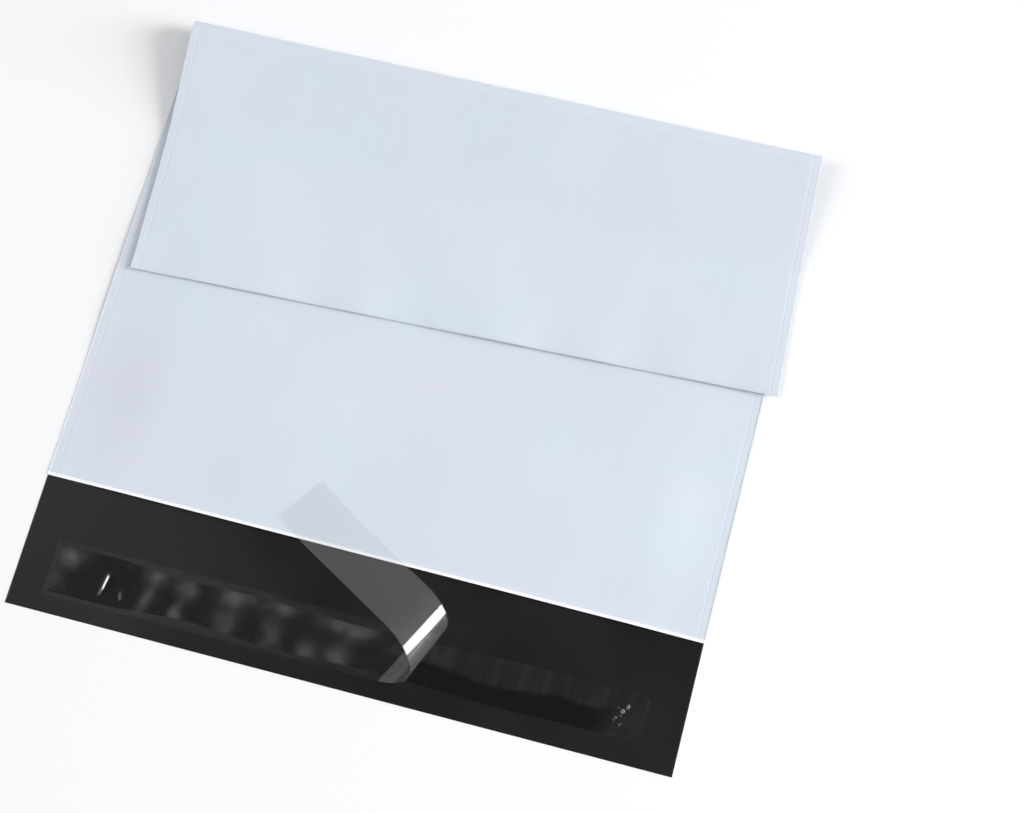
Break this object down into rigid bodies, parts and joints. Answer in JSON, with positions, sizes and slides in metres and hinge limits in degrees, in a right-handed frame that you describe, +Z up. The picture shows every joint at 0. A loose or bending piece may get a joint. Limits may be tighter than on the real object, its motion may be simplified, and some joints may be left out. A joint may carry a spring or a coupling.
{
  "type": "poly mailer bag",
  "caption": "Flat white film mailing bag with a black inner flap, folded over once, its adhesive flap's clear release liner peeled half back.",
  "frame": {"origin": "on the surface that the bag lies on, under the middle of the folded bag", "axes": "+Z up, away from the surface it lies on; +X along the flap's edge, to the right when the flap is near the viewer; +Y from the flap towards the fold"},
  "size_m": [0.255, 0.2454, 0.0244],
  "materials": {
    "film": "satin co-extruded polyethylene film, white outside and black inside",
    "adhesive": "glossy clear hot-melt adhesive over the black film",
    "liner": "thin translucent release film with soft creases"
  },
  "bodies": {
    "root": {"mailer_film": "film", "adhesive_band": "adhesive", "release_liner": "liner"}
  },
  "joints": []
}
